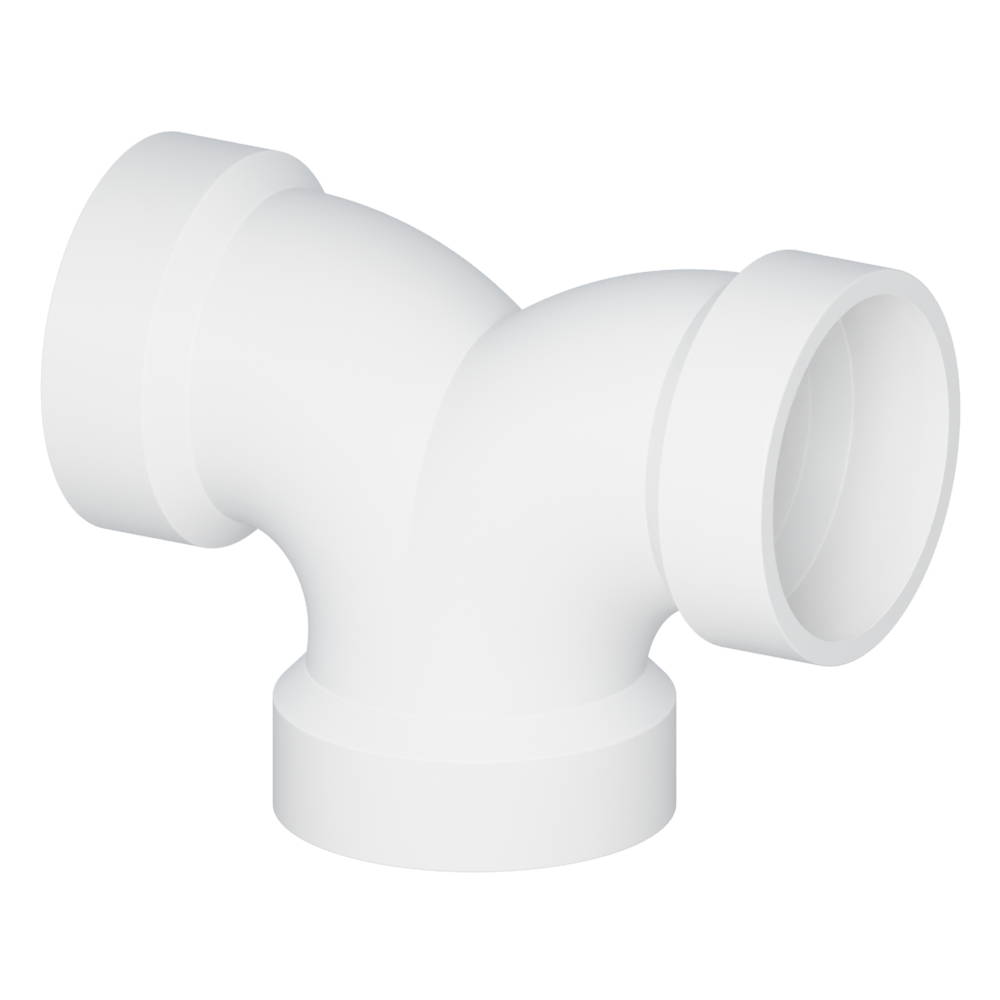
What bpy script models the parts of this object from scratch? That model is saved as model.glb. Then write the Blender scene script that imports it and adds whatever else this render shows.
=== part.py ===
"""Double elbow drain fitting: two quarter bends that share one lower hub, moulded as one piece.

Units are metres, +Z is up. The lower hub's face is at z = 0 and the side hubs face -X and +X.
The side hubs share one axis. The bends hang from it and lean forward, towards -Y, so the lower
hub's axis stands in front of the side axis. The origin is midway between those two axes.
"""

from math import atan2, ceil, pi, radians, sin, tan

import bmesh
import bpy
from mathutils import Matrix, Vector

# The sockets that take the pipes
SOCKET_DIAMETER = 0.0602
SOCKET_DEPTH = 0.0188
LEAD_IN_LENGTH = 0.0044
LEAD_IN_WIDENING = 0.0003
THROAT_LENGTH = 0.0060
THROAT_TO_BEND = 0.0016

# The hubs round the sockets
HUB_WALL = 0.00475
SHOULDER_LENGTH = 0.0058

# Rounds on the rims' outer edges, and at both ends of the shoulders and throats
RIM_ROUND = 0.0004
EDGE_ROUND = 0.0006

# The bends
WATERWAY_DIAMETER = 0.0514
BODY_WALL = 0.0036
BEND_RADIUS = 0.0452
BEND_LEAN = radians(10.6)

# Radii and places that follow from the sizes
SOCKET_RADIUS = SOCKET_DIAMETER / 2
HUB_RADIUS = SOCKET_RADIUS + HUB_WALL
WATERWAY_RADIUS = WATERWAY_DIAMETER / 2
BODY_RADIUS = WATERWAY_RADIUS + BODY_WALL
THROAT_END = SOCKET_DEPTH + THROAT_LENGTH
BEND_DEPTH = THROAT_END + THROAT_TO_BEND
SHOULDER_TURN = atan2(HUB_RADIUS - BODY_RADIUS, SHOULDER_LENGTH)
SHOULDER_END = BEND_DEPTH - EDGE_ROUND * tan(SHOULDER_TURN / 2)
HUB_LENGTH = SHOULDER_END - SHOULDER_LENGTH
CENTRE_TO_FACE = BEND_RADIUS + BEND_DEPTH

# The leaning bends meet the lower hub's axis at mid shoulder
LOWER_AXIS_OFFSET = (CENTRE_TO_FACE - HUB_LENGTH - SHOULDER_LENGTH / 2) * tan(BEND_LEAN)
SIDE_AXIS_Y = LOWER_AXIS_OFFSET / 2
LOWER_AXIS_Y = -LOWER_AXIS_OFFSET / 2

# Fineness of the facets; those of a round turn by at most ROUND_TURN
SIDES = 56
BEND_STEPS = 14
ROUND_TURN = radians(32.0)

# How far one solid runs into the next before they are joined, and a cutter past a face
COVER = 0.0030
PAST_FACE = 0.0010
LEG_LENGTH = BEND_DEPTH - SOCKET_DEPTH / 2

# Points closer than this are one point
JOIN_DISTANCE = 0.00001


def clear_scene():
    for obj in list(bpy.data.objects):
        bpy.data.objects.remove(obj, do_unlink=True)


def new_collection(name):
    collection = bpy.data.collections.new(name)
    bpy.context.scene.collection.children.link(collection)
    return collection


def pvc_material():
    material = bpy.data.materials.new("white_pvc")
    material.use_nodes = True
    shader = material.node_tree.nodes["Principled BSDF"]
    shader.inputs["Base Color"].default_value = (0.87, 0.87, 0.865, 1.0)
    shader.inputs["Roughness"].default_value = 0.42
    shader.inputs["Metallic"].default_value = 0.0
    return material


def fillet(before, corner, after, radius):
    """The (radius, depth) points of a round in a section's corner."""
    back = (before - corner).normalized()
    on = (after - corner).normalized()
    half = back.angle(on) / 2
    centre = corner + (back + on).normalized() * radius / sin(half)
    first = corner + back * radius / tan(half) - centre
    last = corner + on * radius / tan(half) - centre
    steps = ceil((pi - 2 * half) / ROUND_TURN)
    arms = [first.slerp(last, step / steps) for step in range(steps + 1)]
    return [tuple(centre + arm.normalized() * radius) for arm in arms]


def rounded(corners):
    """A section's (radius, depth) points from its (radius, depth, round) corners.

    The last round may end on the last corner, which then adds no point.
    """
    places = [Vector(corner[:2]) for corner in corners]
    points = [corners[0][:2]]
    for i in range(1, len(corners) - 1):
        if corners[i][2]:
            points += fillet(places[i - 1], places[i], places[i + 1], corners[i][2])
        else:
            points.append(corners[i][:2])
    if (places[-1] - Vector(points[-1])).length > JOIN_DISTANCE:
        points.append(corners[-1][:2])
    return points


def hub_corners():
    """Outside of a hub: from the axis at its face, round the rim, to the shoulder."""
    return [(0.0, 0.0, 0.0), (HUB_RADIUS, 0.0, RIM_ROUND), (HUB_RADIUS, HUB_LENGTH, EDGE_ROUND)]


def socket_corners():
    """Inside of a hub: from the axis just past its face, by the lead-in, to the throat."""
    flare = LEAD_IN_WIDENING / LEAD_IN_LENGTH
    mouth_radius = SOCKET_RADIUS + flare * (LEAD_IN_LENGTH + PAST_FACE)
    return [
        (0.0, -PAST_FACE, 0.0),
        (mouth_radius, -PAST_FACE, 0.0),
        (SOCKET_RADIUS, LEAD_IN_LENGTH, 0.0),
        (SOCKET_RADIUS, SOCKET_DEPTH, EDGE_ROUND),
    ]


def led_into_bend(corners, radius, cone_end):
    """A side hub's section: its cone ends in a round on the bend's own radius."""
    return rounded(corners + [(radius, cone_end, EDGE_ROUND), (radius, BEND_DEPTH, 0.0)])


def carried_on(corners, radius, cone_end):
    """The lower hub's section: its cone runs on by COVER inside the bends, to the axis."""
    wide, start, _ = corners[-1]
    slope = (wide - radius) / (cone_end - start)
    hidden = (radius - slope * COVER, cone_end + COVER, 0.0)
    return rounded(corners + [hidden, (0.0, hidden[1], 0.0)])


def first_ring(shape, radius, x):
    place = Matrix.Translation((x, 0.0, 0.0)) @ Matrix.Rotation(0.5 * pi, 4, "Y")
    bmesh.ops.create_circle(shape, segments=SIDES, radius=radius, matrix=place)
    return list(shape.edges)


def next_ring(shape, edges, move, spread):
    """Extrudes a ring of edges, spreads it about the side axis and moves it along."""
    grown = bmesh.ops.extrude_edge_only(shape, edges=edges)["geom"]
    points = [item for item in grown if isinstance(item, bmesh.types.BMVert)]
    bmesh.ops.scale(shape, verts=points, vec=(1.0, spread, spread))
    bmesh.ops.translate(shape, verts=points, vec=move)
    return ring_edges(grown, set(points))


def ring_edges(items, points):
    edges = [item for item in items if isinstance(item, bmesh.types.BMEdge)]
    return [edge for edge in edges if points.issuperset(edge.verts)]


def bent_ring(shape, edges):
    """Spins a ring round the bend's centre, from the side axis down to the lower leg."""
    centre = (BEND_RADIUS, 0.0, -BEND_RADIUS)
    spun = bmesh.ops.spin(
        shape, geom=edges, cent=centre, axis=(0.0, 1.0, 0.0), angle=-0.5 * pi, steps=BEND_STEPS
    )
    last = spun["geom_last"]
    return ring_edges(last, {item for item in last if isinstance(item, bmesh.types.BMVert)})


def elbow_solid(name, section, collection):
    """The right elbow about the side axis: its section as far as BEND_DEPTH, the bend and a leg."""
    shape = bmesh.new()
    radius, depth = section[1]
    edges = first_ring(shape, radius, CENTRE_TO_FACE - depth)
    for next_radius, next_depth in section[2:]:
        move = (depth - next_depth, 0.0, 0.0)
        edges = next_ring(shape, edges, move, next_radius / radius)
        radius, depth = next_radius, next_depth
    edges = bent_ring(shape, edges)
    next_ring(shape, edges, (0.0, 0.0, -LEG_LENGTH), 1.0)
    bmesh.ops.holes_fill(shape, edges=shape.edges, sides=SIDES)
    bmesh.ops.recalc_face_normals(shape, faces=shape.faces)
    mesh = bpy.data.meshes.new(name)
    shape.to_mesh(mesh)
    shape.free()
    obj = bpy.data.objects.new(name, mesh)
    collection.objects.link(obj)
    return obj


def turned_solid(name, section, collection):
    """The lower hub or its hollow, face down: a half section that a Screw turns about Z."""
    points = [(radius, 0.0, depth) for radius, depth in reversed(section)]
    mesh = bpy.data.meshes.new(name)
    mesh.from_pydata(points, [(i, i + 1) for i in range(len(points) - 1)], [])
    obj = bpy.data.objects.new(name, mesh)
    obj.location = (0.0, LOWER_AXIS_Y, 0.0)
    collection.objects.link(obj)
    screw = obj.modifiers.new("turn", "SCREW")
    screw.axis = "Z"
    screw.angle = 2 * pi
    screw.steps = SIDES
    screw.render_steps = SIDES
    screw.use_merge_vertices = True
    screw.merge_threshold = JOIN_DISTANCE
    return obj


def add_mirror(obj):
    """Keeps the half at +X and mirrors it, so that the two elbows meet in a crease at x = 0."""
    mirror = obj.modifiers.new("two_elbows", "MIRROR")
    mirror.use_axis = (True, False, False)
    mirror.use_bisect_axis = (True, False, False)
    mirror.bisect_threshold = JOIN_DISTANCE
    mirror.merge_threshold = JOIN_DISTANCE


def add_boolean(obj, operation, other):
    modifier = obj.modifiers.new(operation.lower() + "_" + other.name, "BOOLEAN")
    modifier.operation = operation
    modifier.solver = "EXACT"
    modifier.object = other
    other.hide_render = True
    other.display_type = "WIRE"


def lean(obj):
    """Sets an elbow on the side axis and tips its bends forward about that axis."""
    obj.location = (0.0, SIDE_AXIS_Y, CENTRE_TO_FACE)
    obj.rotation_euler = (-BEND_LEAN, 0.0, 0.0)


def build_body(parts, helpers):
    """Outer form: the two elbows and the lower hub, joined."""
    side_section = led_into_bend(hub_corners(), BODY_RADIUS, SHOULDER_END)
    body = elbow_solid("fitting_body", side_section, parts)
    lean(body)
    add_mirror(body)
    lower_section = carried_on(hub_corners(), BODY_RADIUS, SHOULDER_END)
    add_boolean(body, "UNION", turned_solid("lower_hub", lower_section, helpers))
    return body


def cut_hollow(body, helpers):
    """Waterway: both bends with their sockets, then the lower socket."""
    side_section = led_into_bend(socket_corners(), WATERWAY_RADIUS, THROAT_END)
    waterway = elbow_solid("waterway", side_section, helpers)
    lean(waterway)
    add_mirror(waterway)
    add_boolean(body, "DIFFERENCE", waterway)
    lower_section = carried_on(socket_corners(), WATERWAY_RADIUS, THROAT_END)
    add_boolean(body, "DIFFERENCE", turned_solid("lower_socket", lower_section, helpers))


def main():
    clear_scene()
    parts = new_collection("double_elbow")
    helpers = new_collection("double_elbow_helpers")
    body = build_body(parts, helpers)
    cut_hollow(body, helpers)
    body.data.shade_smooth()
    body.data.set_sharp_from_angle(angle=radians(25.0))
    body.data.materials.append(pvc_material())


main()
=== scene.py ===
"""Double elbow drain fitting, moulded in white PVC, on a plain white floor.

Metres, +Z up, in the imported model's frame: the lower hub stands on z = 0 and the side hubs face
-X and +X. The side hubs share one axis. The bends hang from it and lean forward, towards -Y.
"""

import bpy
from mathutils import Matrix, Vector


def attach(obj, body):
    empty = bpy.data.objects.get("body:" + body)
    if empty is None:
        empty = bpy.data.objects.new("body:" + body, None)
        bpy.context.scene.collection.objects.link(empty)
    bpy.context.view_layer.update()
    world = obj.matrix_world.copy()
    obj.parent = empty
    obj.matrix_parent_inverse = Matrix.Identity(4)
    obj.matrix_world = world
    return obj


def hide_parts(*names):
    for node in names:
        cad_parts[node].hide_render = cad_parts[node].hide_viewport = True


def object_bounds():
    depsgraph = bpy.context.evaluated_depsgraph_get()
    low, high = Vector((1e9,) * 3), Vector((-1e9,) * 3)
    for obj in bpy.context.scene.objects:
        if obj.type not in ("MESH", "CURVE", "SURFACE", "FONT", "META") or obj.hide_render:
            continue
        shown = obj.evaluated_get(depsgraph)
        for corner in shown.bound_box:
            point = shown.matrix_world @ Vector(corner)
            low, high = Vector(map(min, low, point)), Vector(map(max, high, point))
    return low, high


bl_info = {
    "name": "Double elbow fitting",
    "version": (1, 0, 0),
    "blender": (4, 5, 0),
    "location": "3D View > Sidebar > Fitting",
    "description": "Models a moulded double elbow pipe fitting and sets it on a white floor",
    "category": "Object",
}

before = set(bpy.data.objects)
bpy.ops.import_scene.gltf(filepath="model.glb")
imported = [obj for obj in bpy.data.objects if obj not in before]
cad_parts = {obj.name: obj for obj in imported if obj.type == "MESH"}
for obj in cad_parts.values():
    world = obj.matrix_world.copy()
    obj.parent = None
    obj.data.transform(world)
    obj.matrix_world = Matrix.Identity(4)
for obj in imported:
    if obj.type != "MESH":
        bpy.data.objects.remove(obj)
CAD_LOW, CAD_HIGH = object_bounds()

from math import atan2, cos, pi, radians, sin, tan

import bpy
from mathutils import Vector

# How fine the round forms are
SIDES = 144
BEND_STEPS = 48
ROUND_STEPS = 6
# A ring this close beside each small round keeps the smooth shading true on the long faces
GUARD = 0.00006
# How far one solid runs into the next before they are joined, and a cutter past a face
COVER = 0.0030
PAST_FACE = 0.0010
# The round inside a rim stops just short of square, where the cutter comes straight out
LIP_TURN = radians(80.0)
# Points closer than this are one point, and edges blunter than this are shaded smooth
JOIN_DISTANCE = 0.000001
SMOOTH_ANGLE = radians(24.0)

# Refraction of rigid PVC
PVC_IOR = 1.53
# Flow clouds in the moulded wall: their width, and how far they change its colour and its gloss
CLOUD_WIDTH = 0.0143
CLOUD_TONE = 0.015
CLOUD_GLOSS = 0.03
# Mould grain is really about 0.05 mm wide, and is drawn coarser so that it shows
GRAIN_WIDTH = 0.000357
GRAIN_HEIGHT = 0.00004
GRAIN_STRENGTH = 0.05

# Width of the painted highlight lines on the edges of the throats and shoulders
PAINTED_HIGHLIGHT_WIDTH = 0.0004
# Share of a socket's depth over which the painted light at its mouth darkens into the painted
# shade of its wall
MOUTH_SHARE = 0.4
# How far past the start of the bend the bore's painted light and shade go, and where they fade at
# its end
BORE_REACH = 0.0105
BORE_FADE = 0.0035

# The middle of the fitting, which the lamps face, and the directions from it that they stand in
MIDDLE = Vector((0.0, 0.0, 0.06))
KEY_DIRECTION = Vector((0.468, -0.818, 0.334))
FILL_DIRECTION = Vector((-0.497, -0.795, 0.348))
LAMP_DISTANCE = 0.5
LAMP_WIDTH = 0.2
CAMERA_DISTANCE = 0.9
FLOOR_WIDTH = 6.0
# Satin reflections find the floor dull up to the first distance and bright from the second: a
# painted shadow of the fitting on the glowing floor, which only reflections see
DULL_FLOOR = (0.09, 0.12)
# The light that prints as white, and how lights below it print, as (light, tone)
WHITE_LIGHT = 1.30
TONES = ((0.40, 0.37), (0.80, 0.76), (0.90, 0.831), (1.00, 0.869), (1.10, 0.893), (1.20, 0.925))
# Times that light may pass between the white walls, enough to light the sockets' depths
BOUNCES = 24


class FittingSizes(bpy.types.PropertyGroup):
    """Sizes of the fitting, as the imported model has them"""

    socket_diameter: bpy.props.FloatProperty(
        name="Socket diameter",
        description="Across the socket's straight wall, for a nominal 2 inch drain pipe",
        default=0.0602,
        unit="LENGTH",
        precision=4,
    )
    socket_depth: bpy.props.FloatProperty(
        name="Socket depth",
        description="From the rim to the floor that stops the pipe",
        default=0.0188,
        unit="LENGTH",
        precision=4,
    )
    lead_in_length: bpy.props.FloatProperty(
        name="Lead-in length",
        description="How deep the mouth's slight flare goes",
        default=0.0044,
        unit="LENGTH",
        precision=4,
    )
    lead_in_widening: bpy.props.FloatProperty(
        name="Lead-in widening",
        description="How much wider the mouth's radius is than the socket's",
        default=0.0003,
        unit="LENGTH",
        precision=4,
    )
    throat_length: bpy.props.FloatProperty(
        name="Throat length",
        description="Length of the cone from the socket's floor to the waterway",
        default=0.0060,
        unit="LENGTH",
        precision=4,
    )
    hub_wall: bpy.props.FloatProperty(
        name="Hub wall",
        description="Thickness of the wall round a socket",
        default=0.00475,
        unit="LENGTH",
        precision=5,
    )
    shoulder_length: bpy.props.FloatProperty(
        name="Shoulder length",
        description="Length of the cone from a hub down to the bend",
        default=0.0058,
        unit="LENGTH",
        precision=4,
    )
    waterway_diameter: bpy.props.FloatProperty(
        name="Waterway diameter",
        description="Bore of the bends",
        default=0.0514,
        unit="LENGTH",
        precision=4,
    )
    body_wall: bpy.props.FloatProperty(
        name="Body wall",
        description="Thickness of the bends' wall",
        default=0.0036,
        unit="LENGTH",
        precision=4,
    )
    bend_radius: bpy.props.FloatProperty(
        name="Bend radius",
        description="Radius of the bends' centre lines",
        default=0.0452,
        unit="LENGTH",
        precision=4,
    )
    bend_lean: bpy.props.FloatProperty(
        name="Bend lean",
        description="How far the bends lean forward from upright",
        default=radians(10.6),
        subtype="ANGLE",
    )
    rim_round: bpy.props.FloatProperty(
        name="Rim round",
        description="Round on the outer edge of a rim",
        default=0.0004,
        unit="LENGTH",
        precision=4,
    )
    lip_round: bpy.props.FloatProperty(
        name="Lip round",
        description="Round on the inner edge of a rim",
        default=0.0002,
        unit="LENGTH",
        precision=4,
    )
    edge_round: bpy.props.FloatProperty(
        name="Edge round",
        description="Round at both ends of the shoulders, throats and straight socket walls",
        default=0.0006,
        unit="LENGTH",
        precision=4,
    )


class FittingLook(bpy.types.PropertyGroup):
    """Colour, finish, light and view of the picture"""

    pvc: bpy.props.StringProperty(
        name="PVC",
        description="Colour of the moulded wall, as sRGB hex",
        default="#F9F9F9",
    )
    # Painted light: pale highlight lines on the fine edges, and painted light in the socket
    # mouths and all down the waterway
    painted_light: bpy.props.StringProperty(
        name="Painted light",
        description="Colour where the mould is polished: waterway, socket mouths and fine edges",
        default="#FEFEFE",
    )
    # Painted shade: the side sockets' walls are drawn a touch darker than the outside wall
    socket: bpy.props.StringProperty(
        name="Socket",
        description="Colour of the side sockets' walls, as sRGB hex",
        default="#F8F8F8",
    )
    # Painted shade in the cones behind the side sockets, darker than the socket walls
    throat: bpy.props.StringProperty(
        name="Throat",
        description="Colour of the cones behind the side sockets, where the bore is dullest",
        default="#EFEFEF",
    )
    roughness: bpy.props.FloatProperty(
        name="Roughness",
        description="How matt the moulded wall is",
        default=0.38,
        min=0.0,
        max=1.0,
        subtype="FACTOR",
    )
    shine: bpy.props.StringProperty(
        name="Shine",
        description="Colour of the room in the satin reflections, as sRGB hex",
        default="#E3F0FF",
    )
    room_shine: bpy.props.FloatProperty(
        name="Room shine",
        description="Strength of the room in the satin reflections",
        default=0.80,
        min=0.0,
    )
    far_shine: bpy.props.FloatProperty(
        name="Far shine",
        description="Strength of the far floor in the satin reflections",
        default=0.66,
        min=0.0,
    )
    # Painted shadow of the fitting on the floor, seen only in the satin reflections
    near_shine: bpy.props.FloatProperty(
        name="Near shine",
        description="Strength of the floor round the fitting in the satin reflections",
        default=0.43,
        min=0.0,
    )
    room_light: bpy.props.FloatProperty(
        name="Room light",
        description="Strength of the even light from the room",
        default=0.603,
        min=0.0,
    )
    floor_light: bpy.props.FloatProperty(
        name="Floor light",
        description="Strength of the even light from the floor",
        default=0.646,
        min=0.0,
    )
    backdrop: bpy.props.FloatProperty(
        name="Backdrop",
        description="Strength of the white that the picture shows behind the fitting",
        default=1.35,
        min=0.0,
    )
    key_power: bpy.props.FloatProperty(
        name="Key power",
        description="Power of the soft key light",
        default=1.05,
        min=0.0,
        unit="POWER",
    )
    fill_power: bpy.props.FloatProperty(
        name="Fill power",
        description="Power of the weak light from the left",
        default=0.175,
        min=0.0,
        unit="POWER",
    )
    view_round: bpy.props.FloatProperty(
        name="View round",
        description="How far the camera stands round to the right of the front",
        default=radians(29.8),
        subtype="ANGLE",
    )
    view_up: bpy.props.FloatProperty(
        name="View up",
        description="How far the camera looks down",
        default=radians(19.53),
        subtype="ANGLE",
    )
    view_width: bpy.props.FloatProperty(
        name="View width",
        description="Width of the parallel view",
        default=0.17246,
        min=0.0,
        unit="LENGTH",
        precision=5,
    )
    view_middle: bpy.props.FloatVectorProperty(
        name="View middle",
        description="The point in the middle of the view",
        default=(0.00280, -0.00058, 0.05518),
        subtype="TRANSLATION",
        precision=5,
    )


class Form:
    """Radii and places that follow from the fitting's sizes, and the sections of its hubs.

    A section's points hold the radius and the depth from the hub's face.
    """

    def __init__(self, sizes):
        self.sizes = sizes
        self.socket_radius = sizes.socket_diameter / 2
        self.mouth_radius = self.socket_radius + sizes.lead_in_widening
        self.hub_radius = self.socket_radius + sizes.hub_wall
        self.waterway_radius = sizes.waterway_diameter / 2
        self.body_radius = self.waterway_radius + sizes.body_wall
        self.throat_end = sizes.socket_depth + sizes.throat_length
        # The side hubs' faces are as far from the middle as the side axis is from the lower face
        self.centre_to_face = CAD_HIGH.x
        self.bend_depth = self.centre_to_face - sizes.bend_radius
        turn = atan2(self.hub_radius - self.body_radius, sizes.shoulder_length)
        self.shoulder_end = self.bend_depth - GUARD - sizes.edge_round * tan(turn / 2)
        self.hub_length = self.shoulder_end - sizes.shoulder_length
        # The leaning bends meet the lower hub's axis at mid shoulder
        mid_shoulder = self.hub_length + sizes.shoulder_length / 2
        offset = (self.centre_to_face - mid_shoulder) * tan(sizes.bend_lean)
        self.side_axis_y = offset / 2
        self.lower_axis_y = -offset / 2

    def fillet(self, before, corner, after, radius):
        """A round in a corner as points, with a guard point on either side."""
        back = (before - corner).normalized()
        on = (after - corner).normalized()
        half = back.angle(on) / 2
        reach = radius / tan(half)
        centre = corner + (back + on).normalized() * radius / sin(half)
        first = corner + back * reach - centre
        last = corner + on * reach - centre
        arms = [first.slerp(last, step / ROUND_STEPS) for step in range(ROUND_STEPS + 1)]
        arc = [centre + arm.normalized() * radius for arm in arms]
        return [arc[0] + back * GUARD] + arc + [arc[-1] + on * GUARD]

    def rounded(self, corners):
        """(radius, depth, round) corners as points. The first and the last corner stay sharp."""
        places = [Vector(corner[:2]) for corner in corners]
        points = [places[0]]
        for i in range(1, len(places) - 1):
            if corners[i][2]:
                points += self.fillet(places[i - 1], places[i], places[i + 1], corners[i][2])
            else:
                points.append(places[i])
        return points + [places[-1]]

    def outside(self, tail):
        """Outside of a hub from three rounds in on its rim's flat, then the corners in tail."""
        rim = self.sizes.rim_round
        return self.rounded(
            [
                (self.hub_radius - 3 * rim, 0.0, 0),
                (self.hub_radius, 0.0, rim),
                (self.hub_radius, self.hub_length, self.sizes.edge_round),
            ]
            + tail
        )

    def side_outside(self):
        """A side hub's outside: a round leads from its shoulder into the bend.

        The round's guard point is where the bend starts, so the last corner adds no point.
        """
        end = (self.body_radius, self.shoulder_end, self.sizes.edge_round)
        return self.outside([end, (self.body_radius, self.bend_depth, 0)])[:-1]

    def lower_outside(self):
        """The lower hub's outside: its shoulder runs on into the bends, to be capped there."""
        slope = (self.hub_radius - self.body_radius) / self.sizes.shoulder_length
        radius = self.body_radius - slope * COVER
        return self.outside([(radius, self.shoulder_end + COVER, 0)])

    def inside(self, tail):
        """Inside of a hub from past its rim inwards, then the corners in tail."""
        sizes = self.sizes
        lip = sizes.lip_round
        edge = sizes.edge_round
        arc = []
        for step in range(ROUND_STEPS + 1):
            angle = LIP_TURN * (1 - step / ROUND_STEPS)
            arc.append(
                Vector((self.mouth_radius + lip * (1 - cos(angle)), lip * (1 - sin(angle))))
            )
        start = Vector((arc[0].x, -PAST_FACE))
        wall = self.rounded(
            [
                (self.mouth_radius, lip + GUARD, 0),
                (self.socket_radius, sizes.lead_in_length, edge),
                (self.socket_radius, sizes.socket_depth, edge),
            ]
            + tail
        )
        return [start] + arc + wall

    def side_inside(self):
        """A side hub's inside, as far as the bend."""
        end = (self.waterway_radius, self.throat_end, self.sizes.edge_round)
        return self.inside([end, (self.waterway_radius, self.bend_depth, 0)])

    def lower_inside(self):
        """The lower hub's inside: its throat runs on into the waterway."""
        slope = (self.socket_radius - self.waterway_radius) / self.sizes.throat_length
        return self.inside([(self.waterway_radius - slope * COVER, self.throat_end + COVER, 0)])


def linear(hex_colour):
    """An sRGB hex colour as linear red, green, blue and alpha."""
    values = [int(hex_colour[i : i + 2], 16) / 255 for i in (1, 3, 5)]
    return [v / 12.92 if v <= 0.04045 else ((v + 0.055) / 1.055) ** 2.4 for v in values] + [1.0]


def add_node(tree, kind, settings, inputs):
    """Adds a shader node with its settings and inputs.

    An input's value is a number, a colour, another node's output, or a node for its first output.
    """
    node = tree.nodes.new(kind)
    for name, value in settings.items():
        setattr(node, name, value)
    for name, value in inputs.items():
        if isinstance(value, bpy.types.Node):
            value = value.outputs[0]
        if isinstance(value, bpy.types.NodeSocket):
            tree.links.new(value, node.inputs[name])
        else:
            node.inputs[name].default_value = value
    return node


def bore_painted_light_and_shade(look, form):
    """Painted light and shade down a side bore, as (depth, colour) stops from the face inwards.

    Painted light at the mouth darkens into painted shade on the socket wall, and into deeper
    painted shade in the throat.
    A painted highlight lies as a pale line on either edge of the throat, and painted light then
    runs all down the waterway.
    """
    floor = form.sizes.socket_depth
    end = form.throat_end
    # Painted light and highlights, and the painted shade of the socket wall and the throat
    pale = linear(look.painted_light)
    wall = linear(look.socket)
    throat = linear(look.throat)
    # Painted shade deepens towards the socket's floor, half way to the throat's painted shade
    dull = [(one + other) / 2 for one, other in zip(wall, throat)]
    return [
        (0.0, pale),
        (MOUTH_SHARE * floor, wall),
        (floor - PAINTED_HIGHLIGHT_WIDTH, dull),
        (floor, pale),
        (floor + PAINTED_HIGHLIGHT_WIDTH / 2, throat),
        (end - PAINTED_HIGHLIGHT_WIDTH / 2, throat),
        (end, pale),
    ]


def outside_colour_and_painted_highlights(look, form):
    """Colours back from a hub's face: the wall's, and a painted highlight as a pale line on the
    shoulder's two edges.
    """
    pale = linear(look.painted_light)
    wall = linear(look.pvc)
    stops = [(0.0, wall)]
    # A painted highlight along each edge of the shoulder
    for edge in (form.hub_length, form.shoulder_end):
        stops += [(edge - PAINTED_HIGHLIGHT_WIDTH, wall), (edge, pale), (edge + PAINTED_HIGHLIGHT_WIDTH, wall)]
    return stops


def colour_by_depth(tree, depth, reach, stops):
    """The colour at a depth, from (depth, colour) stops down to the reach.

    The first stop is at the face.
    """
    share = add_node(tree, "ShaderNodeMapRange", {}, {"Value": depth, "From Max": reach})
    colour = add_node(tree, "ShaderNodeValToRGB", {}, {"Fac": share})
    ramp = colour.color_ramp.elements
    ramp.remove(ramp[1])
    ramp[0].color = stops[0][1]
    for place, shade in stops[1:]:
        ramp.new(place / reach).color = shade
    return colour


def wall_colour_and_painted_light(tree, place, look, form):
    """The outside's colour with painted highlights on its shoulder edges, or the bore's painted
    light and shade inside the side hubs, told by the place alone.
    """
    reach = form.bend_depth + BORE_REACH
    point = add_node(tree, "ShaderNodeSeparateXYZ", {}, {0: place})
    across = add_node(tree, "ShaderNodeMath", {"operation": "ABSOLUTE"}, {0: point.outputs["X"]})
    side_depth = add_node(
        tree, "ShaderNodeMath", {"operation": "SUBTRACT"}, {0: form.centre_to_face, 1: across}
    )
    depth = add_node(
        tree, "ShaderNodeMath", {"operation": "MINIMUM"}, {0: side_depth, 1: point.outputs["Z"]}
    )
    outside = colour_by_depth(tree, depth, reach, outside_colour_and_painted_highlights(look, form))
    bore = colour_by_depth(tree, depth, reach, bore_painted_light_and_shade(look, form))
    # The bore is nearer to the side axis than a limit that runs inside the wall
    on_axis = add_node(
        tree,
        "ShaderNodeCombineXYZ",
        {},
        {"X": point.outputs["X"], "Y": form.side_axis_y, "Z": form.centre_to_face},
    )
    away = add_node(
        tree, "ShaderNodeVectorMath", {"operation": "DISTANCE"}, {0: place, 1: on_axis}
    )
    limit = add_node(
        tree,
        "ShaderNodeMapRange",
        {},
        {
            "Value": depth,
            "From Min": form.sizes.socket_depth,
            "From Max": form.bend_depth,
            "To Min": form.mouth_radius + form.sizes.lip_round / 2,
            "To Max": form.waterway_radius + form.sizes.body_wall / 2,
        },
    )
    inside = add_node(
        tree, "ShaderNodeMath", {"operation": "LESS_THAN"}, {0: away.outputs["Value"], 1: limit}
    )
    fade = add_node(
        tree,
        "ShaderNodeMapRange",
        {},
        {
            "Value": depth,
            "From Min": reach - BORE_FADE,
            "From Max": reach,
            "To Min": 1.0,
            "To Max": 0.0,
        },
    )
    share = add_node(tree, "ShaderNodeMath", {"operation": "MULTIPLY"}, {0: inside, 1: fade})
    # A Mix node's two colours are its inputs 6 and 7, and the mixed one is its output 2
    colour = add_node(
        tree, "ShaderNodeMix", {"data_type": "RGBA"}, {0: share, 6: outside, 7: bore}
    )
    return colour.outputs[2]


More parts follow.
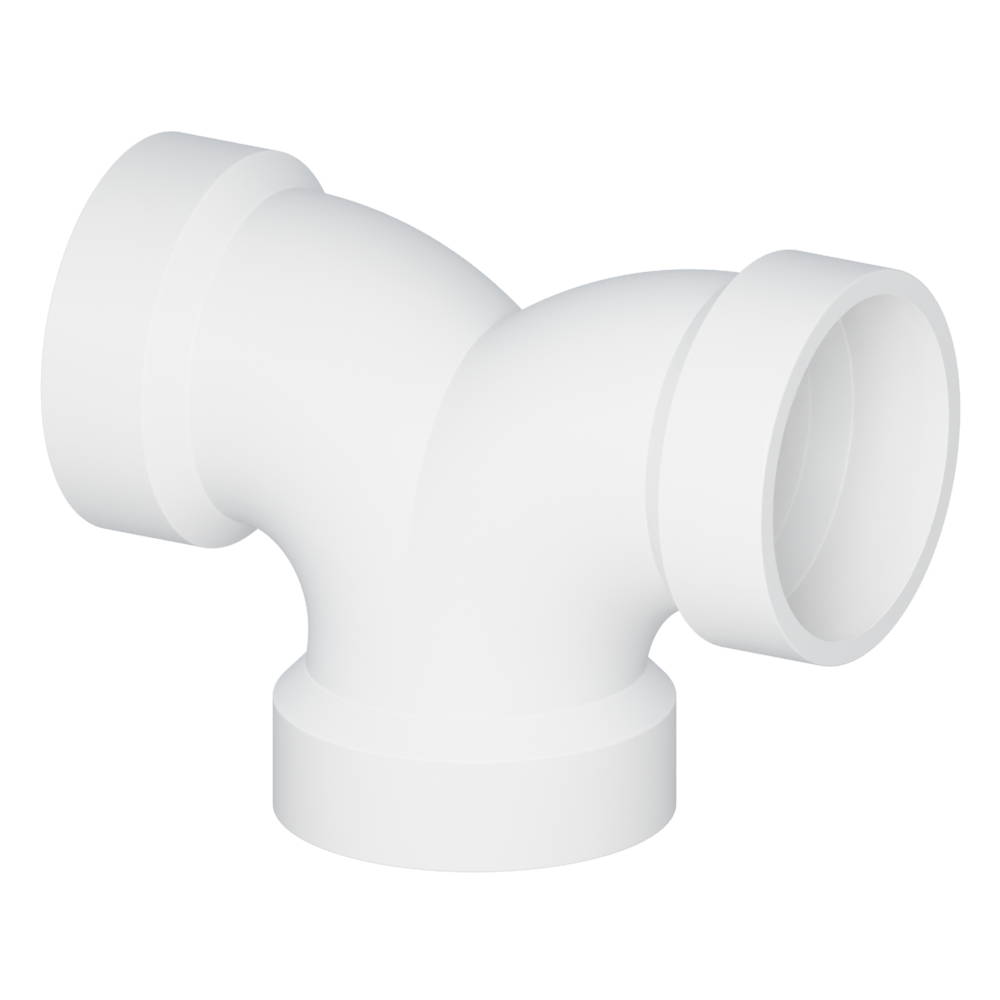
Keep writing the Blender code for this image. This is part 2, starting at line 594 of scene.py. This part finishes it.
def moulded_pvc(look, form):
    """Injection-moulded white PVC.

    An opaque white with a satin skin. The skin takes the fine grain of a blasted mould and very
    slight flow clouds a centimetre or two across. Its colour also carries painted highlights on
    the fine edges, and painted light and shade in the side bores.
    """
    material = bpy.data.materials.new("injection_moulded_pvc")
    material.use_nodes = True
    tree = material.node_tree
    shader = tree.nodes["Principled BSDF"]
    place = add_node(tree, "ShaderNodeTexCoord", {}, {}).outputs["Object"]
    clouds = add_node(
        tree,
        "ShaderNodeTexNoise",
        {},
        {"Vector": place, "Scale": 1 / CLOUD_WIDTH, "Detail": 3.0, "Roughness": 0.5},
    )
    tone = add_node(
        tree, "ShaderNodeMapRange", {}, {"Value": clouds, "To Min": 1 - CLOUD_TONE, "To Max": 1.0}
    )
    colour = add_node(
        tree,
        "ShaderNodeVectorMath",
        {"operation": "SCALE"},
        {0: wall_colour_and_painted_light(tree, place, look, form), "Scale": tone},
    )
    satin = add_node(
        tree,
        "ShaderNodeMapRange",
        {},
        {
            "Value": clouds,
            "To Min": look.roughness - CLOUD_GLOSS,
            "To Max": look.roughness + CLOUD_GLOSS,
        },
    )
    grain = add_node(
        tree,
        "ShaderNodeTexNoise",
        {},
        {"Vector": place, "Scale": 1 / GRAIN_WIDTH, "Detail": 2.0, "Roughness": 0.6},
    )
    bump = add_node(
        tree,
        "ShaderNodeBump",
        {},
        {"Height": grain, "Strength": GRAIN_STRENGTH, "Distance": GRAIN_HEIGHT},
    )
    tree.links.new(colour.outputs[0], shader.inputs["Base Color"])
    tree.links.new(satin.outputs[0], shader.inputs["Roughness"])
    tree.links.new(bump.outputs[0], shader.inputs["Normal"])
    shader.inputs["IOR"].default_value = PVC_IOR
    return material


def deselect():
    bpy.ops.object.select_all(action="DESELECT")


def only(obj):
    """Selects this object alone and makes it the active one."""
    deselect()
    obj.select_set(True)
    bpy.context.view_layer.objects.active = obj


def ring(name, radius, place, turn):
    """Adds an open ring and leaves it in edit mode, selected all over."""
    deselect()
    bpy.ops.mesh.primitive_circle_add(
        vertices=SIDES, radius=radius, fill_type="NOTHING", location=place, rotation=turn
    )
    obj = bpy.context.object
    obj.name = name
    obj.data.name = name
    bpy.ops.object.transform_apply(location=True, rotation=True, scale=True)
    bpy.ops.object.mode_set(mode="EDIT")
    bpy.ops.mesh.select_all(action="SELECT")
    return obj


def extrude_along(section, face, inward):
    """Extrudes the selected ring through the section's points, from the face inwards."""
    for last, point in zip(section, section[1:]):
        move = inward * (point.y - last.y)
        # The ring spreads across the inward axis and keeps its place along it
        spread = point.x / last.x
        stretch = [spread + (1 - spread) * abs(part) for part in inward]
        bpy.ops.mesh.extrude_edges_move(TRANSFORM_OT_translate={"value": move})
        bpy.ops.transform.resize(value=stretch, center_override=face + inward * point.y)


def close_ends():
    """Caps the open rings, turns the faces outwards and goes back to object mode."""
    bpy.ops.mesh.select_all(action="SELECT")
    bpy.ops.mesh.fill_holes(sides=SIDES)
    bpy.ops.mesh.select_all(action="SELECT")
    bpy.ops.mesh.normals_make_consistent(inside=False)
    bpy.ops.object.mode_set(mode="OBJECT")


def elbow(name, section, form):
    """The right elbow with the side axis along X, tipped forward, then mirrored at x = 0."""
    sizes = form.sizes
    face = Vector((form.centre_to_face, 0.0, 0.0))
    inward = Vector((-1.0, 0.0, 0.0))
    obj = ring(name, section[0].x, face + inward * section[0].y, (0.0, 0.5 * pi, 0.0))
    extrude_along(section, face, inward)
    bpy.ops.mesh.spin(
        steps=BEND_STEPS,
        angle=0.5 * pi,
        center=(sizes.bend_radius, 0.0, -sizes.bend_radius),
        axis=(0.0, 1.0, 0.0),
    )
    # The leg ends half way down the lower socket
    leg = form.bend_depth - sizes.socket_depth / 2
    bpy.ops.mesh.extrude_edges_move(TRANSFORM_OT_translate={"value": (0.0, 0.0, -leg)})
    close_ends()
    obj.location = (0.0, form.side_axis_y, form.centre_to_face)
    obj.rotation_euler = (-sizes.bend_lean, 0.0, 0.0)
    bpy.ops.object.transform_apply(location=True, rotation=True, scale=True)
    mirror = obj.modifiers.new("two_elbows", "MIRROR")
    mirror.use_axis = (True, False, False)
    mirror.use_bisect_axis = (True, False, False)
    mirror.merge_threshold = JOIN_DISTANCE
    mirror.bisect_threshold = JOIN_DISTANCE
    bpy.ops.object.modifier_apply(modifier=mirror.name)
    return obj


def turned(name, section, form):
    """The lower hub, or its hollow, on the lower hub's axis."""
    face = Vector((0.0, form.lower_axis_y, 0.0))
    inward = Vector((0.0, 0.0, 1.0))
    obj = ring(name, section[0].x, face + inward * section[0].y, (0.0, 0.0, 0.0))
    extrude_along(section, face, inward)
    close_ends()
    return obj


def combine(obj, operation, other):
    """Joins another solid to this one, or cuts it away, and removes the other."""
    boolean = obj.modifiers.new(operation.lower(), "BOOLEAN")
    boolean.operation = operation
    boolean.solver = "EXACT"
    boolean.object = other
    only(obj)
    bpy.ops.object.modifier_apply(modifier=boolean.name)
    bpy.data.meshes.remove(other.data)


class FITTING_OT_body(bpy.types.Operator):
    """Models the fitting's body: both elbows, the lower hub and the waterway, in one piece"""

    bl_idname = "fitting.body"
    bl_label = "Moulded body"

    def execute(self, context):
        form = Form(context.scene.fitting_sizes)
        body = elbow("moulded_body", form.side_outside(), form)
        combine(body, "UNION", turned("lower_hub", form.lower_outside(), form))
        combine(body, "DIFFERENCE", elbow("waterway", form.side_inside(), form))
        combine(body, "DIFFERENCE", turned("lower_socket", form.lower_inside(), form))
        only(body)
        bpy.ops.object.shade_smooth_by_angle(angle=SMOOTH_ANGLE)
        body.data.materials.append(moulded_pvc(context.scene.fitting_look, form))
        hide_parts("fitting_body")
        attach(body, "root")
        return {"FINISHED"}


class FITTING_OT_stage(bpy.types.Operator):
    """Lays a white floor and sets the soft lights and the camera"""

    bl_idname = "fitting.stage"
    bl_label = "Floor, light and camera"

    def execute(self, context):
        scene = context.scene
        look = scene.fitting_look
        scene.cycles.diffuse_bounces = BOUNCES
        scene.cycles.max_bounces = BOUNCES
        self.exposure(scene.view_settings)
        self.floor(look)
        self.room(scene, look)
        self.lamp("key_light", KEY_DIRECTION, look.key_power)
        self.lamp("fill_light", FILL_DIRECTION, look.fill_power)
        self.camera(scene, look)
        return {"FINISHED"}

    def glow(self, tree, kind, strength, shine, look):
        """An even pale light that the picture itself sees as a clean white backdrop.

        Satin reflections see it in a cooler colour, as they would a studio's walls.
        """
        plain = linear("#FFFFFF")
        path = add_node(tree, "ShaderNodeLightPath", {}, {})
        even = add_node(tree, kind, {}, {"Color": plain, "Strength": strength})
        cool = add_node(tree, kind, {}, {"Color": linear(look.shine), "Strength": shine})
        white = add_node(tree, kind, {}, {"Color": plain, "Strength": look.backdrop})
        lit = add_node(
            tree, "ShaderNodeMixShader", {}, {0: path.outputs["Is Glossy Ray"], 1: even, 2: cool}
        )
        return add_node(
            tree, "ShaderNodeMixShader", {}, {0: path.outputs["Is Camera Ray"], 1: lit, 2: white}
        )

    def floor(self, look):
        """A floor that glows by itself, so that nothing throws a shadow on it."""
        deselect()
        bpy.ops.mesh.primitive_plane_add(size=FLOOR_WIDTH)
        floor = bpy.context.object
        floor.name = "floor"
        material = bpy.data.materials.new("lit_white_floor")
        material.use_nodes = True
        tree = material.node_tree
        tree.nodes.clear()
        place = add_node(tree, "ShaderNodeTexCoord", {}, {}).outputs["Object"]
        away = add_node(tree, "ShaderNodeVectorMath", {"operation": "LENGTH"}, {0: place})
        # The floor glows dimmer in reflections near the fitting, a painted shadow of the fitting
        shine = add_node(
            tree,
            "ShaderNodeMapRange",
            {},
            {
                "Value": away.outputs["Value"],
                "From Min": DULL_FLOOR[0],
                "From Max": DULL_FLOOR[1],
                "To Min": look.near_shine,
                "To Max": look.far_shine,
            },
        )
        glow = self.glow(tree, "ShaderNodeEmission", look.floor_light, shine, look)
        add_node(tree, "ShaderNodeOutputMaterial", {}, {"Surface": glow})
        floor.data.materials.append(material)

    def room(self, scene, look):
        """Even, pale light from all round."""
        world = bpy.data.worlds.new("white_room")
        scene.world = world
        world.use_nodes = True
        tree = world.node_tree
        tree.nodes.clear()
        glow = self.glow(tree, "ShaderNodeBackground", look.room_light, look.room_shine, look)
        add_node(tree, "ShaderNodeOutputWorld", {}, {"Surface": glow})

    def exposure(self, view):
        """Prints light as a camera does: even tones up to a soft bend below white."""
        view.view_transform = "Standard"
        view.use_curve_mapping = True
        mapping = view.curve_mapping
        mapping.extend = "HORIZONTAL"
        mapping.white_level = (WHITE_LIGHT, WHITE_LIGHT, WHITE_LIGHT)
        # The fourth curve bends all three colours alike
        curve = mapping.curves[3]
        for light, tone in TONES:
            curve.points.new(light / WHITE_LIGHT, tone)
        mapping.update()

    def lamp(self, name, direction, power):
        """A soft round lamp that faces the fitting's middle."""
        towards = direction.normalized()
        deselect()
        bpy.ops.object.light_add(type="AREA", location=MIDDLE + LAMP_DISTANCE * towards)
        lamp = bpy.context.object
        lamp.name = name
        lamp.rotation_euler = towards.to_track_quat("Z", "Y").to_euler()
        lamp.data.shape = "DISK"
        lamp.data.size = LAMP_WIDTH
        lamp.data.energy = power

    def camera(self, scene, look):
        """A parallel view from the front right and a little above."""
        deselect()
        bpy.ops.object.camera_add(rotation=(0.5 * pi - look.view_up, 0.0, look.view_round))
        camera = bpy.context.object
        back = camera.rotation_euler.to_matrix() @ Vector((0.0, 0.0, 1.0))
        camera.location = look.view_middle + CAMERA_DISTANCE * back
        camera.data.type = "ORTHO"
        camera.data.ortho_scale = look.view_width
        scene.camera = camera


class FITTING_PT_panel(bpy.types.Panel):
    """Lists the fitting's sizes, look and steps"""

    bl_idname = "FITTING_PT_panel"
    bl_label = "Double elbow fitting"
    bl_space_type = "VIEW_3D"
    bl_region_type = "UI"
    bl_category = "Fitting"

    def draw(self, context):
        layout = self.layout
        for group in (context.scene.fitting_sizes, context.scene.fitting_look):
            box = layout.box()
            for name in group.__annotations__:
                box.prop(group, name)
        for operator in OPERATORS:
            layout.operator(operator.bl_idname)


GROUPS = (FittingSizes, FittingLook)
OPERATORS = (FITTING_OT_body, FITTING_OT_stage)
CLASSES = GROUPS + OPERATORS + (FITTING_PT_panel,)


def register():
    for one in CLASSES:
        bpy.utils.register_class(one)
    bpy.types.Scene.fitting_sizes = bpy.props.PointerProperty(type=FittingSizes)
    bpy.types.Scene.fitting_look = bpy.props.PointerProperty(type=FittingLook)


def unregister():
    del bpy.types.Scene.fitting_look
    del bpy.types.Scene.fitting_sizes
    for one in reversed(CLASSES):
        bpy.utils.unregister_class(one)


def main():
    register()
    bpy.ops.fitting.body()
    bpy.ops.fitting.stage()
    bpy.context.view_layer.update()


if __name__ == "__main__":
    main()
